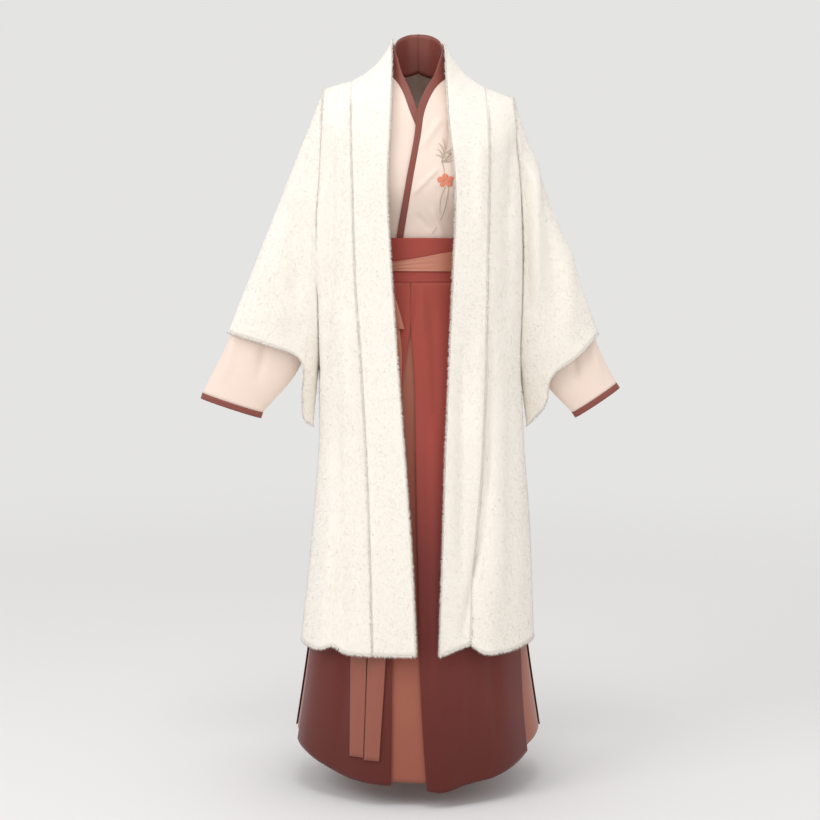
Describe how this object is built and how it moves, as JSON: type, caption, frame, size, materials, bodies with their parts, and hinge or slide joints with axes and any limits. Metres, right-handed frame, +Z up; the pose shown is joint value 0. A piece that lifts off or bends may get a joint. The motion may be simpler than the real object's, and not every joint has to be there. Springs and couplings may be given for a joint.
{
  "type": "hanfu set of robe coat, crossed-collar top and two-layer skirt, filled out as worn",
  "caption": "Hanfu set filled out as worn: long open fluffy knit coat over a crossed-collar satin top, layered rust skirt with a front slit and a ribbon belt.",
  "frame": {"origin": "middle of the neck base, level with the tops of the shoulders, where the wearer's shoulders carry the set", "axes": "+Z up along the body, -Y towards the front, +X towards the wearer's left"},
  "size_m": [0.7654, 0.3956, 1.3357],
  "materials": {
    "fluffy_knit": "soft brushed pile knit, cream",
    "blush_satin": "smooth satin, pale pink beige",
    "maroon_satin": "satin band, dark maroon",
    "rust_cloth": "light woven cloth, rust shaded to dark maroon",
    "salmon_cloth": "light woven cloth, salmon"
  },
  "bodies": {
    "root": {"coat_front_right": "fluffy_knit", "coat_front_left": "fluffy_knit", "coat_sleeve_right": "fluffy_knit", "coat_sleeve_left": "fluffy_knit", "coat_band_right": "fluffy_knit", "coat_band_left": "fluffy_knit", "coat_back": "fluffy_knit", "top_front_right": "blush_satin", "top_front_left": "blush_satin", "top_sleeve_right": "blush_satin", "top_sleeve_left": "blush_satin", "top_back": "blush_satin", "top_cuff_right": "maroon_satin", "top_cuff_left": "maroon_satin", "top_collar_right": "maroon_satin", "top_collar_left": "maroon_satin", "skirt_waistband": "rust_cloth", "overskirt_front_right": "rust_cloth", "overskirt_front_left": "rust_cloth", "overskirt_back": "rust_cloth", "underskirt_front": "salmon_cloth", "underskirt_back": "salmon_cloth", "belt_wrap": "salmon_cloth", "belt_knot": "salmon_cloth", "belt_tail_short": "salmon_cloth", "belt_tail_long_a": "salmon_cloth", "belt_tail_long_b": "salmon_cloth"}
  },
  "joints": []
}
